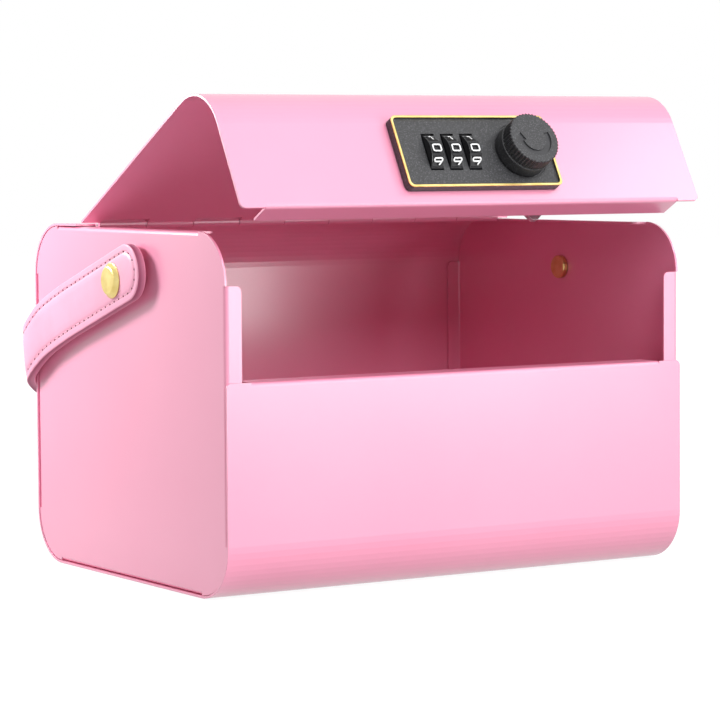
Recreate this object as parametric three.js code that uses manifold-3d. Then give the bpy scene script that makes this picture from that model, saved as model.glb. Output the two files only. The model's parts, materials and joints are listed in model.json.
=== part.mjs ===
// A steel medication lock box with a hinged lid, a combination cam lock and a leather strap handle.
// Millimetres. X runs along the width, Y to the rear and Z up. The origin is the middle of the base.
// The lid stands part open and the lock's cam is part turned, as when the box has just been opened.
import * as THREE from "three";
import { mergeVertices } from "three/addons/utils/BufferGeometryUtils.js";
import Module from "manifold-3d";

const wasm = await Module();
wasm.setup();

// Driving dimensions of the box
const boxWidth = 240;
const boxDepth = 184;
const boxHeight = 158.5;
const cornerRadius = 24;
const sheet = 1;
const bendRadius = 1.8;
const seam = 0.3;
const flapGap = 0.5;
const flapMargin = 1;
const flangeDepth = 8;
const flangeCorner = 2.5;
const lipInset = 12;
const lidLipDepth = 12;
const sheetCorner = 2.5;

// Driving dimensions of the hinge
const hingeSetback = 46.8;
const hingeMargin = 1;
const knuckleCount = 9;
const barrelRadius = 2.5;
const leafThickness = 1.2;
const leafWidth = 17;
const pinClearance = 0.15;
const knuckleGap = 0.3;
const knuckleNotch = 3;
const lidOpening = THREE.MathUtils.degToRad(28.6);

// Driving dimensions of the strap handle and its pivots
const pivotDrop = 24.2;
const strapWidth = 25.4;
const strapThickness = 4.2;
const strapEdge = 1.1;
const strapTip = 25;
const strapSlope = THREE.MathUtils.degToRad(17.5);
const strapTilt = THREE.MathUtils.degToRad(8);
const strapDrawIn = 0.5;
const strapFall = 45.8;
const strapBend = 9;
const strapBendFall = 11;
const pivotGap = 0.3;
const washerRadius = 8;
const washerThickness = 1.7;
const pivotShank = 3;
const headRadius = 8;
const headDisc = 6.1;
const headFlange = 0.7;
const headHeight = 2.4;
const nutRadius = 5.6;
const nutHeight = 2.4;
const nutFloor = 0.8;

// Driving dimensions of the lock's front plate
const lockOffset = 3;
const lockRise = 23.9;
const plateWidth = 80.5;
const plateHeight = 35;
const plateCorner = 2.5;
const faceHeight = 3.6;
const borderWidth = 1;
const borderHeight = 4;
const trimThickness = 0.5;

// Driving dimensions of the dials
const dialCount = 3;
const dialPitch = 10;
const dialInset = 17.25;
const dialRadius = 10;
const dialWidth = 6.2;
const dialProud = 4;
const facetCount = 10;
const facetDepth = 0.35;
const ridgeWidth = 1.1;
const rimWidth = 0.5;
const windowHeight = 18;
const running = 0.3;
const axleRadius = 1.5;
const sleeveRadius = 3;
const collarRadius = 4;

// Driving dimensions of the knob, its spindle and the cam
const knobInset = 16.65;
const knobRadius = 12.45;
const knobFront = 16;
const knobTeeth = 46;
const toothDepth = 0.6;
const skirtRadius = 12.7;
const skirtHeight = 6;
const seatGap = 0.9;
const seatDepth = 0.5;
const spindleRadius = 4;
const spindleSquare = 5.6;
const threadRadius = 2.6;
const camAngle = THREE.MathUtils.degToRad(37.5);
const camLength = 27;
const camWidth = 14;
const camThickness = 2;
const camGap = 0.5;
const camRoot = 9;
const camNutRadius = 4.6;
const camNutHeight = 3;

// Driving dimensions of the lock's rear housing
const housingMargin = 2;
const housingDepth = 13.6;
const housingWall = 1.5;
const slideThickness = 1.4;
const slideWidth = 6;
const springThickness = 0.4;
const screwRadius = 1.5;
const screwHead = 2.8;
const screwHeadHeight = 1.7;
const screwInset = 7;
const screwBite = 1.8;
const driverSlot = 0.7;
const resetRadius = 2.5;
const resetLength = 6;

// Places that follow from the driving dimensions
const halfWidth = boxWidth / 2;
const halfDepth = boxDepth / 2;
const panelInset = sheet + seam;
const hingeY = halfDepth - hingeSetback;
const leafTop = boxHeight - sheet - seam;
const hingeZ = leafTop - leafThickness + barrelRadius;
const barrelReach = barrelRadius + 0.5;
const housingHeight = plateHeight - 2 * housingMargin;
const flapBottom = boxHeight - cornerRadius - flapMargin - housingHeight / 2 - lockRise;
const frontHeight = flapBottom - flapGap;
const pivotZ = boxHeight - pivotDrop;
const panelFace = halfWidth - seam;
const hingeLength = 2 * (panelFace - flangeDepth - hingeMargin);
const housingFront = -(sheet + seam);
const housingBack = housingFront - housingDepth;
const camFront = housingBack - camGap;
const frontLipDepth = -camFront - camGap;
const dialCentre = faceHeight + dialProud - dialRadius;
const sleeveEnd = dialPitch - dialWidth / 2 - running;
const lockZ = flapBottom + lockRise;
const knobOffset = plateWidth / 2 - knobInset;
const knobSeat = faceHeight - seatDepth;

const cornerSteps = 7;
const bendSteps = 2;
const stationTurn = THREE.MathUtils.degToRad(9);
const stationStep = 14;
const roundSteps = 24;
const hingeSteps = 16;
const axisX = new THREE.Vector3(1, 0, 0);
const axisY = new THREE.Vector3(0, 1, 0);
const axisZ = new THREE.Vector3(0, 0, 1);

const paint = { color: 0xf8b6d0, roughness: 0.35, metalness: 0.1 };
const leather = { color: 0xf9bdd6, roughness: 0.6, metalness: 0 };
const brass = { color: 0xe2bd62, roughness: 0.25, metalness: 1 };
const steel = { color: 0xb9bcc0, roughness: 0.35, metalness: 1 };
const blackPlastic = { color: 0x2a2a2d, roughness: 0.55, metalness: 0 };
const blackGloss = { color: 0x141416, roughness: 0.25, metalness: 0 };
const nylon = { color: 0xe9e6df, roughness: 0.6, metalness: 0 };

// A three.js geometry as a solid that can be cut and joined.
function solid(geometry) {
  const bare = geometry.clone();
  bare.deleteAttribute("normal");
  bare.deleteAttribute("uv");
  const merged = mergeVertices(bare, 1e-4);
  return new wasm.Manifold(
    new wasm.Mesh({
      numProp: 3,
      vertProperties: new Float32Array(merged.attributes.position.array),
      triVerts: new Uint32Array(merged.index.array),
    }),
  );
}

function geometryOf(body) {
  const mesh = body.getMesh();
  const geometry = new THREE.BufferGeometry();
  geometry.setAttribute("position", new THREE.BufferAttribute(mesh.vertProperties, 3));
  geometry.setIndex(new THREE.BufferAttribute(mesh.triVerts, 1));
  geometry.computeVertexNormals();
  return geometry;
}

const joined = (first, ...others) => others.reduce((body, other) => body.add(other), first);
const cut = (first, ...others) => others.reduce((body, other) => body.subtract(other), first);

function piece(name, body, finish, parent) {
  const mesh = new THREE.Mesh(geometryOf(body), new THREE.MeshStandardMaterial(finish));
  mesh.name = name;
  parent.add(mesh);
  return mesh;
}

function block(low, high) {
  const size = high.map((value, i) => value - low[i]);
  const geometry = new THREE.BoxGeometry(...size);
  geometry.translate(low[0] + size[0] / 2, low[1] + size[1] / 2, low[2] + size[2] / 2);
  return solid(geometry);
}

// A profile drawn in (Y, Z) and run along X.
function alongX(shape, from, to) {
  const geometry = new THREE.ExtrudeGeometry(shape, {
    depth: to - from,
    bevelEnabled: false,
    curveSegments: cornerSteps,
  });
  geometry.applyMatrix4(new THREE.Matrix4().makeBasis(axisY, axisZ, axisX));
  geometry.translate(from, 0, 0);
  return solid(geometry);
}

// A profile drawn in (X, Z) and run along Y.
function alongY(shape, from, to) {
  const geometry = new THREE.ExtrudeGeometry(shape, {
    depth: to - from,
    bevelEnabled: false,
    curveSegments: cornerSteps,
  });
  geometry.applyMatrix4(new THREE.Matrix4().makeBasis(axisX, axisZ, axisY.clone().negate()));
  geometry.translate(0, to, 0);
  return solid(geometry);
}

function alongZ(shape, from, to, bevel = 0) {
  const geometry = new THREE.ExtrudeGeometry(shape, {
    depth: to - from - 2 * bevel,
    bevelEnabled: bevel > 0,
    bevelThickness: bevel,
    bevelSize: bevel,
    bevelOffset: -bevel,
    bevelSegments: 1,
    curveSegments: 4,
  });
  geometry.translate(0, 0, from + bevel);
  return solid(geometry);
}

// A turned piece about Z. Its profile is a list of [radius, height] that rises outside the metal.
function turned(profile, steps = roundSteps) {
  const points = profile.map(([radius, height]) => new THREE.Vector2(radius, height));
  const geometry = new THREE.LatheGeometry(points, steps);
  geometry.rotateX(Math.PI / 2);
  return solid(geometry);
}

function rod(radius, from, to, steps = roundSteps) {
  return turned([[0, from], [radius, from], [radius, to], [0, to]], steps);
}

// Turns a solid made about Z to lie along X, with its top towards +X.
function toX(body) {
  const geometry = geometryOf(body);
  geometry.rotateY(Math.PI / 2);
  return solid(geometry);
}

function moved(body, x, y, z) {
  const geometry = geometryOf(body);
  geometry.translate(x, y, z);
  return solid(geometry);
}

function roundedRectangle(width, height, radius) {
  const x = width / 2;
  const y = height / 2;
  const shape = new THREE.Shape();
  shape.absarc(x - radius, y - radius, radius, 0, Math.PI / 2);
  shape.absarc(-x + radius, y - radius, radius, Math.PI / 2, Math.PI);
  shape.absarc(-x + radius, -y + radius, radius, Math.PI, Math.PI * 1.5);
  shape.absarc(x - radius, -y + radius, radius, Math.PI * 1.5, Math.PI * 2);
  shape.closePath();
  return shape;
}

// The section of a bent sheet. The path is its outer face, and the metal lies on the path's left.
function sheetSection(path, steps) {
  const apart = (point, i, all) => i === 0 || point.distanceTo(all[i - 1]) > 1e-6;
  const outer = path.getPoints(steps).filter(apart);
  const sides = outer.slice(1).map((point, i) => {
    const along = point.clone().sub(outer[i]).normalize();
    return new THREE.Vector2(-along.y, along.x);
  });
  const inner = outer.map((point, i) => {
    const before = sides[Math.max(i - 1, 0)];
    const after = sides[Math.min(i, sides.length - 1)];
    const mitre = before.clone().add(after).multiplyScalar(sheet / (1 + before.dot(after)));
    return point.clone().add(mitre);
  });
  return new THREE.Shape([...outer, ...inner.reverse()]);
}

// A cutter that rounds one square corner of a front sheet, seen from the front.
function cornerCutter(x, z, sideX, sideZ) {
  const shape = new THREE.Shape();
  const reach = sheetCorner + 1;
  const points = [[reach, reach], [-sheetCorner, reach], [-sheetCorner, 0]];
  for (let i = 0; i <= cornerSteps; i += 1) {
    const angle = (Math.PI / 2) * (1 - i / cornerSteps);
    const across = sheetCorner * (Math.cos(angle) - 1);
    const up = sheetCorner * (Math.sin(angle) - 1);
    points.push([across, up]);
  }
  points.push([reach, -sheetCorner]);
  const placed = points.map(([u, v]) => new THREE.Vector2(x + sideX * u, z + sideZ * v));
  shape.setFromPoints(placed);
  return alongY(shape, -halfDepth - 1, -halfDepth + sheet + 1);
}

// The wrapped shell: front panel, base, back and top strip in one bent sheet
function bodyShell() {
  const path = new THREE.Path();
  path.moveTo(-halfDepth, frontHeight);
  path.lineTo(-halfDepth, cornerRadius);
  path.absarc(-halfDepth + cornerRadius, cornerRadius, cornerRadius, Math.PI, Math.PI * 1.5);
  path.lineTo(halfDepth - cornerRadius, 0);
  path.absarc(halfDepth - cornerRadius, cornerRadius, cornerRadius, -Math.PI / 2, 0);
  path.lineTo(halfDepth, boxHeight - cornerRadius);
  path.absarc(halfDepth - cornerRadius, boxHeight - cornerRadius, cornerRadius, 0, Math.PI / 2);
  path.lineTo(hingeY + barrelReach, boxHeight);
  const wrap = alongX(sheetSection(path, cornerSteps), -halfWidth, halfWidth);

  const lip = new THREE.Path();
  lip.moveTo(-halfDepth + frontLipDepth, frontHeight);
  lip.lineTo(-halfDepth + bendRadius, frontHeight);
  lip.absarc(-halfDepth + bendRadius, frontHeight - bendRadius, bendRadius, Math.PI / 2, Math.PI);
  lip.lineTo(-halfDepth, frontHeight - bendRadius - sheet);
  const lipEnd = halfWidth - lipInset;
  const bent = alongX(sheetSection(lip, bendSteps), -lipEnd, lipEnd);
  const room = block(
    [-lipEnd, -halfDepth - 1, frontHeight - bendRadius],
    [lipEnd, -halfDepth + sheet + 1, frontHeight + 1],
  );
  const corners = [-1, 1].map((side) => cornerCutter(side * halfWidth, frontHeight, side, 1));
  return joined(cut(wrap, room, ...corners), bent);
}

// One inward flange of a side panel, made along the top of the panel and then turned to its side.
function panelFlange(halfLength, distance, quarterTurns) {
  const path = new THREE.Path();
  path.moveTo(-panelFace + flangeDepth, distance);
  path.lineTo(-panelFace + bendRadius, distance);
  path.absarc(-panelFace + bendRadius, distance - bendRadius, bendRadius, Math.PI / 2, Math.PI);
  path.lineTo(-panelFace, distance - bendRadius - sheet);
  const bent = alongY(sheetSection(path, bendSteps), -halfLength, halfLength);
  const reach = 2 * flangeDepth;
  const outline = roundedRectangle(reach, 2 * halfLength, flangeCorner);
  const trimmed = moved(
    alongZ(outline, distance - cornerRadius, distance + 1),
    -panelFace + flangeDepth - reach / 2,
    0,
    0,
  );
  return placeFlange(bent.intersect(trimmed), quarterTurns);
}

function placeFlange(body, quarterTurns) {
  const geometry = geometryOf(body);
  geometry.rotateX((quarterTurns * Math.PI) / 2);
  geometry.translate(0, 0, boxHeight / 2);
  return solid(geometry);
}

// The left side panel: a flat plate with rounded corners and a flange on each straight side
function sidePanel() {
  const high = boxHeight - 2 * panelInset;
  const deep = boxDepth - 2 * panelInset;
  const corners = roundedRectangle(deep, high, cornerRadius - panelInset).getPoints(2 * cornerSteps);
  const outline = new THREE.Shape(corners);
  let panel = moved(alongX(outline, -panelFace, -panelFace + sheet), 0, 0, boxHeight / 2);
  const sides = [
    [halfDepth - cornerRadius, high / 2],
    [boxHeight / 2 - cornerRadius, deep / 2],
  ];
  for (let turn = 0; turn < 4; turn += 1) {
    const [halfLength, distance] = sides[turn % 2];
    const room = block(
      [-panelFace - 1, -halfLength, distance - bendRadius],
      [-panelFace + sheet + 1, halfLength, distance + 1],
    );
    panel = panel.subtract(placeFlange(room, turn)).add(panelFlange(halfLength, distance, turn));
  }
  const hole = toX(rod(pivotShank + pivotGap, -panelFace - 1, -panelFace + sheet + 1));
  return panel.subtract(moved(hole, 0, 0, pivotZ));
}

// The lid: one sheet from the hinge over the front bend to the flap, with a lip along the flap's foot
function lidShell() {
  const path = new THREE.Path();
  path.moveTo(hingeY - barrelReach, boxHeight);
  path.lineTo(-halfDepth + cornerRadius, boxHeight);
  const bend = boxHeight - cornerRadius;
  path.absarc(-halfDepth + cornerRadius, bend, cornerRadius, Math.PI / 2, Math.PI);
  path.lineTo(-halfDepth, flapBottom);
  const cover = alongX(sheetSection(path, cornerSteps), -halfWidth, halfWidth);

  const lip = new THREE.Path();
  lip.moveTo(-halfDepth, flapBottom + bendRadius + sheet);
  lip.lineTo(-halfDepth, flapBottom + bendRadius);
  const foot = flapBottom + bendRadius;
  lip.absarc(-halfDepth + bendRadius, foot, bendRadius, Math.PI, Math.PI * 1.5);
  lip.lineTo(-halfDepth + lidLipDepth, flapBottom);
  const lipEnd = halfWidth - lipInset;
  const bent = alongX(sheetSection(lip, bendSteps), -lipEnd, lipEnd);
  const room = block(
    [-lipEnd, -halfDepth - 1, flapBottom - 1],
    [lipEnd, -halfDepth + sheet + 1, flapBottom + bendRadius],
  );
  const corners = [-1, 1].map((side) => cornerCutter(side * halfWidth, flapBottom, side, -1));

  const first = lockOffset + dialPlace(0) - dialPitch;
  const last = lockOffset + dialPlace(dialCount - 1) + dialPitch;
  const dialHole = block(
    [first, -halfDepth - 1, lockZ - dialRadius - 1],
    [last, -halfDepth + sheet + 1, lockZ + dialRadius + 1],
  );
  const knobHole = new THREE.Shape();
  knobHole.absarc(lockOffset + knobOffset, lockZ, spindleRadius + 1, 0, Math.PI * 2);
  const spindleHole = alongY(knobHole, -halfDepth - 1, -halfDepth + sheet + 1);
  const screwHoles = screwPlaces().map(([x, y]) => {
    const round = new THREE.Shape();
    round.absarc(lockOffset + x, lockZ + y, screwRadius + running, 0, Math.PI * 2);
    return alongY(round, -halfDepth - 1, -halfDepth + sheet + 1);
  });
  const notchEnd = hingeY - barrelReach - knuckleNotch;
  const notches = knucklePlaces(-1).map(([from, to]) =>
    block([from, notchEnd, boxHeight - sheet - 1], [to, hingeY, boxHeight + 1]),
  );
  const folded = joined(cut(cover, room, ...corners), bent);
  return cut(folded, dialHole, spindleHole, ...screwHoles, ...notches);
}

// The places along the hinge of one leaf's knuckles. Side 1 is the body's and side -1 the lid's.
function knucklePlaces(side) {
  const pitch = hingeLength / knuckleCount;
  const places = [];
  for (let i = side > 0 ? 1 : 0; i < knuckleCount; i += 2) {
    const from = -hingeLength / 2 + i * pitch + knuckleGap / 2;
    places.push([from, from + pitch - knuckleGap]);
  }
  return places;
}

// One leaf of the piano hinge with its rolled knuckles. The body's leaf lies under its top strip and
// the lid's lies on the lid.
function hingeLeaf(side) {
  const edge = hingeY + side * (barrelReach + 0.3);
  const outer = hingeY + side * leafWidth;
  const low = side > 0 ? leafTop - leafThickness : boxHeight + seam;
  const high = low + leafThickness;
  const half = hingeLength / 2;
  let leaf = block([-half, Math.min(edge, outer), low], [half, Math.max(edge, outer), high]);
  for (const [from, to] of knucklePlaces(side)) {
    const barrel = moved(toX(rod(barrelRadius, from, to, hingeSteps)), 0, hingeY, hingeZ);
    const tab = block(
      [from, Math.min(hingeY, edge + side), low],
      [to, Math.max(hingeY, edge + side), high],
    );
    leaf = joined(leaf, barrel, tab);
  }
  const through = rod(barrelRadius - leafThickness, -half - 1, half + 1, hingeSteps);
  return leaf.subtract(moved(toX(through), 0, hingeY, hingeZ));
}

function hingePin() {
  const radius = barrelRadius - leafThickness - pinClearance;
  return moved(toX(rod(radius, -hingeLength / 2, hingeLength / 2, 16)), 0, hingeY, hingeZ);
}

// Distances outward from the side panel's face to the pieces stacked on the pivot
const washerFace = panelFace + pivotGap;
const strapInner = washerFace + washerThickness + pivotGap;
const strapMiddle = strapInner + strapThickness / 2;
const headSeat = strapInner + strapThickness + pivotGap;
const nutSeat = panelFace - sheet - pivotGap;
const nutTop = nutSeat - nutHeight;

// The strap rests on the rear upright edges of the box. Its bends are centred at these two places.
const strapLean = (strapWidth / 2) * Math.sin(strapTilt);
const bendX = strapMiddle - strapDrawIn - strapBend;
const bendReach = strapBend - strapThickness / 2 - seam;
const bendY = halfDepth - Math.sqrt(bendReach ** 2 - (halfWidth - bendX) ** 2) + strapLean;

// The strap's middle line on one side, from its tip to the middle of the back run. The strap leaves
// its pivot straight, droops towards the rear corner, turns it and crosses behind the back wall.
function strapRoute(side) {
  const backY = bendY + strapBend;
  const backZ = pivotZ - strapFall;
  const straight = (distance) =>
    new THREE.Vector3(
      side * strapMiddle,
      distance * Math.cos(strapSlope),
      pivotZ - distance * Math.sin(strapSlope),
    );
  const drooping = (share, droop) => {
    const y = bendY * share;
    const across = strapMiddle - strapDrawIn * share;
    return new THREE.Vector3(side * across, y, pivotZ - y * Math.tan(strapSlope) - droop);
  };
  const bend = [0, 0.3, 0.65, 1].map((share) => {
    const angle = (share * Math.PI) / 2;
    const across = side * (bendX + strapBend * Math.cos(angle));
    const fall = 1 + (strapBendFall - 1) * (1 - share);
    return new THREE.Vector3(across, bendY + strapBend * Math.sin(angle), backZ + fall);
  });
  return [
    straight(-strapTip),
    straight(0),
    drooping(0.35, 0),
    drooping(0.6, 0.2),
    drooping(0.85, 2),
    ...bend,
    new THREE.Vector3(side * bendX * 0.75, backY, backZ + 0.3),
    new THREE.Vector3(side * bendX * 0.4, backY, backZ),
  ];
}

function strapCurve() {
  const left = strapRoute(-1);
  const right = strapRoute(1).reverse();
  const middle = new THREE.Vector3(0, left[left.length - 1].y, left[left.length - 1].z);
  return new THREE.CatmullRomCurve3([...left, middle, ...right], false, "centripetal");
}

// The strap: a flat band with eased edges and rounded tips, swept along its middle line. Its width
// leans with the side runs and rolls upright through the bends on to the back.
function strapBand() {
  const curve = strapCurve();
  curve.arcLengthDivisions = 2000;
  const length = curve.getLength();
  const half = strapWidth / 2;
  const stations = [];
  for (let i = 1; i <= 6; i += 1) {
    const angle = (i / 6) * (Math.PI / 2);
    stations.push([half * (1 - Math.cos(angle)), half * Math.sin(angle)]);
  }
  let lastStation = half;
  for (let distance = half + 1; distance < length - half; distance += 1) {
    const turned = curve.getTangentAt(distance / length).angleTo(curve.getTangentAt(lastStation / length));
    if (turned > stationTurn || distance - lastStation > stationStep) {
      stations.push([distance, half]);
      lastStation = distance;
    }
  }
  const tail = stations.slice(0, 6).reverse();
  stations.push(...tail.map(([distance, reach]) => [length - distance, reach]));

  const positions = [];
  const thick = strapThickness / 2;
  for (const [distance, reach] of stations) {
    const u = distance / length;
    const centre = curve.getPointAt(u);
    const along = curve.getTangentAt(u);
    const leaning = new THREE.Vector3(0, Math.sin(strapTilt), Math.cos(strapTilt));
    const square = leaning.clone().addScaledVector(along, -leaning.dot(along)).normalize();
    const wide = square.lerp(leaning, THREE.MathUtils.smoothstep(centre.y, bendY / 2, bendY)).normalize();
    const out = new THREE.Vector3().crossVectors(along, wide).normalize();
    const ease = Math.min(strapEdge, reach / 2);
    const section = [
      [reach, thick - strapEdge],
      [reach - ease, thick],
      [ease - reach, thick],
      [-reach, thick - strapEdge],
      [-reach, strapEdge - thick],
      [ease - reach, -thick],
      [reach - ease, -thick],
      [reach, strapEdge - thick],
    ];
    for (const [w, o] of section) {
      const point = centre.clone().addScaledVector(wide, w).addScaledVector(out, o);
      positions.push(point.x, point.y, point.z);
    }
  }
  const ring = 8;
  const index = [];
  for (let i = 0; i + 1 < stations.length; i += 1) {
    for (let j = 0; j < ring; j += 1) {
      const a = i * ring + j;
      const b = i * ring + ((j + 1) % ring);
      index.push(a, b, a + ring, b, b + ring, a + ring);
    }
  }
  const last = (stations.length - 1) * ring;
  for (let j = 1; j + 1 < ring; j += 1) {
    index.push(0, j + 1, j, last, last + j, last + j + 1);
  }
  const geometry = new THREE.BufferGeometry();
  geometry.setAttribute("position", new THREE.BufferAttribute(new Float32Array(positions), 3));
  geometry.setIndex(index);
  const holes = [-1, 1].map((side) => {
    const middle = side * strapMiddle;
    const bore = toX(rod(pivotShank + pivotGap, middle - strapThickness, middle + strapThickness));
    return moved(bore, 0, 0, pivotZ);
  });
  return cut(solid(geometry), ...holes);
}

// Pivot pieces are turned about X, pointing outward on the right side.
function onPivot(body, side) {
  const geometry = geometryOf(toX(body));
  if (side < 0) geometry.rotateZ(Math.PI);
  geometry.translate(0, 0, pivotZ);
  return solid(geometry);
}

function pivotScrew(side) {
  const inner = nutTop + nutFloor + pivotGap;
  const step = headSeat + headFlange;
  const top = headSeat + headHeight;
  const profile = [
    [0, inner],
    [pivotShank, inner],
    [pivotShank, headSeat],
    [headRadius - 0.2, headSeat],
    [headRadius, headSeat + 0.2],
    [headRadius, step - 0.2],
    [headRadius - 0.3, step],
    [headDisc + 0.3, top - 0.3],
    [headDisc - 0.3, top],
    [0, top],
  ];
  return onPivot(turned(profile), side);
}

function pivotNut(side) {
  const bore = pivotShank + pivotGap;
  const profile = [
    [0, nutTop],
    [nutRadius - 0.5, nutTop],
    [nutRadius, nutTop + 0.5],
    [nutRadius, nutSeat],
    [bore, nutSeat],
    [bore, nutTop + nutFloor],
    [0, nutTop + nutFloor],
  ];
  return onPivot(turned(profile), side);
}

function pivotWasher(side) {
  const bore = pivotShank + pivotGap;
  const top = washerFace + washerThickness;
  const profile = [
    [bore, washerFace],
    [washerRadius, washerFace],
    [washerRadius, top],
    [bore, top],
    [bore, washerFace],
  ];
  return onPivot(turned(profile), side);
}

// The lock's own frame: x to the right, y up the flap and z out of its face
function dialPlace(i) {
  return -plateWidth / 2 + dialInset + i * dialPitch;
}

function screwPlaces() {
  const x = plateWidth / 2 - screwInset;
  const y = plateHeight / 2 - screwInset;
  return [[-x, -y], [x, -y], [x, y], [-x, y]];
}

function lockPlate() {
  const outline = roundedRectangle(plateWidth, plateHeight, plateCorner);
  const inner = roundedRectangle(
    plateWidth - 2 * borderWidth,
    plateHeight - 2 * borderWidth,
    plateCorner - borderWidth / 2,
  );
  const slab = alongZ(outline, seam, borderHeight);
  const recess = alongZ(inner, faceHeight, borderHeight + 1);
  const windows = [];
  const pocketHeight = 2 * (dialRadius + running);
  for (let i = 0; i < dialCount; i += 1) {
    const x = dialPlace(i);
    const side = dialWidth / 2 + running;
    const end = windowHeight / 2;
    windows.push(block([x - side, -end, 0], [x + side, end, borderHeight]));
  }
  const first = dialPlace(0) - dialWidth / 2 - running;
  const last = dialPlace(dialCount - 1) + sleeveEnd + running;
  const reach = Math.sqrt(dialRadius ** 2 - (windowHeight / 2) ** 2);
  const pocketTop = dialCentre + reach + 2 * running;
  const pocket = block([first, -pocketHeight / 2, 0], [last, pocketHeight / 2, pocketTop]);
  const bore = moved(rod(spindleRadius + running, 0, borderHeight), knobOffset, 0, 0);
  const seat = moved(rod(skirtRadius + seatGap, knobSeat, borderHeight, 36), knobOffset, 0, 0);
  const pilot = rod(screwRadius + running, 0, seam + screwBite + running, hingeSteps);
  const pilots = screwPlaces().map(([x, y]) => moved(pilot, x, y, 0));
  return cut(slab, recess, ...windows, pocket, bore, seat, ...pilots);
}

function lockTrim() {
  const outline = roundedRectangle(plateWidth, plateHeight, plateCorner);
  const inner = roundedRectangle(
    plateWidth - 2 * borderWidth,
    plateHeight - 2 * borderWidth,
    plateCorner - borderWidth / 2,
  );
  const low = borderHeight + seam;
  return cut(alongZ(outline, low, low + trimThickness), alongZ(inner, low - 1, low + 2));
}

// A dial wheel: a flat for each figure, a raised ridge between one flat and the next, and a round rim
function dialWheel() {
  const shape = new THREE.Shape();
  const step = (Math.PI * 2) / facetCount;
  const ridge = ridgeWidth / 2 / dialRadius;
  const flat = (dialRadius - facetDepth) * Math.cos(step / 2);
  const points = [];
  for (let i = 0; i < facetCount; i += 1) {
    const middle = (i + 0.5) * step;
    const low = flat / Math.cos(step / 2 - 1.3 * ridge);
    points.push([low, middle - 1.3 * ridge]);
    points.push([dialRadius, middle - ridge]);
    points.push([dialRadius, middle + ridge]);
    points.push([low, middle + 1.3 * ridge]);
  }
  const corners = points.map(
    ([radius, angle]) => new THREE.Vector2(radius * Math.cos(angle), radius * Math.sin(angle)),
  );
  shape.setFromPoints(corners);
  const half = dialWidth / 2;
  const rim = toX(rod(dialRadius, -half, rimWidth - half, 40));
  const wheel = joined(alongX(shape, rimWidth / 2 - half, half), rim);
  const bore = toX(rod(sleeveRadius + running, -half - 1, half + 1, 20));
  return turnedFacet(cut(wheel, bore));
}

// The profile's first flat points up. The wheel is turned so that it faces out of the lock.
function turnedFacet(body) {
  const geometry = geometryOf(body);
  geometry.rotateX(Math.PI / 2);
  geometry.translate(0, 0, dialCentre);
  return solid(geometry);
}

function dialSleeve() {
  const half = dialWidth / 2;
  const bore = axleRadius + running;
  const profile = [
    [bore, -half],
    [sleeveRadius, -half],
    [sleeveRadius, half + running],
    [collarRadius, half + running],
    [collarRadius, sleeveEnd],
    [bore, sleeveEnd],
    [bore, -half],
  ];
  return moved(toX(turned(profile, 20)), 0, 0, dialCentre);
}

// Dimensions that the lock's housing and the pieces in it share
const cavityFrom = dialPlace(0) - dialPitch / 2 - 2 * running;
const cavityTo = dialPlace(dialCount - 1) + sleeveEnd + running;
const cavityHalf = dialRadius + 2 * running + slideThickness + 0.2;
const axleEnd = 2;
const slideTop = -cavityHalf + running + slideThickness;
const driveFrom = cavityTo - 1;
const driveTo = knobOffset - spindleRadius - 2 * running;
const driveHigh = axleRadius + 1.3;
const driveLow = dialCentre - slideWidth - 2 * running;
const slideTravel = 1.6;
const resetX = (cavityTo + driveTo) / 2 - 1;
const resetY = cavityHalf - resetRadius - 2;
const screwSeat = housingBack + screwHeadHeight + running;

function dialAxle() {
  const from = cavityFrom - axleEnd + running;
  const to = cavityTo + axleEnd - running;
  return moved(toX(rod(axleRadius, from, to, 20)), 0, 0, dialCentre);
}

// The rear housing: a tray behind the flap that carries the axle, the slide and the spindle
function lockHousing() {
  const width = plateWidth - 2 * housingMargin;
  const outline = roundedRectangle(width, housingHeight, plateCorner);
  const body = alongZ(outline, housingBack, housingFront);
  const floor = housingBack + housingWall;
  const cavity = block([cavityFrom, -cavityHalf, floor], [cavityTo, cavityHalf, 0]);
  const drive = block([driveFrom, -cavityHalf, driveLow], [driveTo, driveHigh, 0]);
  const seat = toX(rod(axleRadius + running, cavityFrom - axleEnd, cavityTo + axleEnd, 20));
  const slot = block(
    [cavityFrom - axleEnd, -axleRadius - running, dialCentre],
    [cavityTo + axleEnd, axleRadius + running, 0],
  );
  const spindle = moved(rod(spindleRadius + running, housingBack - 1, 0), knobOffset, 0, 0);
  const resetTop = housingBack + resetLength + 2 * running;
  const reset = moved(rod(resetRadius + running, housingBack - 1, resetTop, 20), resetX, resetY, 0);
  const screws = screwPlaces().map(([x, y]) => {
    const wide = screwHead + running;
    const through = screwRadius + running;
    const profile = [
      [0, housingBack - 1],
      [wide, housingBack - 1],
      [wide, screwSeat],
      [through, screwSeat],
      [through, 0],
      [0, 0],
    ];
    return moved(turned(profile, hingeSteps), x, y, 0);
  });
  const bores = [moved(seat, 0, 0, dialCentre), slot, spindle, reset, ...screws];
  return cut(body, cavity, drive, ...bores);
}

function lockScrew([x, y]) {
  const seat = screwSeat - running;
  const low = seat - screwHeadHeight;
  const top = seam + screwBite;
  const profile = [
    [0, low],
    [screwHead - 0.5, low],
    [screwHead, low + 0.5],
    [screwHead, seat],
    [screwRadius, seat],
    [screwRadius, top],
    [0, top],
  ];
  const reach = screwHead * 0.7;
  const half = driverSlot / 2;
  const cross = [[reach, half], [half, reach]].map(([w, h]) =>
    block([-w, -h, low - 1], [w, h, low + driverSlot]),
  );
  return moved(cut(turned(profile, hingeSteps), ...cross), x, y, 0);
}

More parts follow.
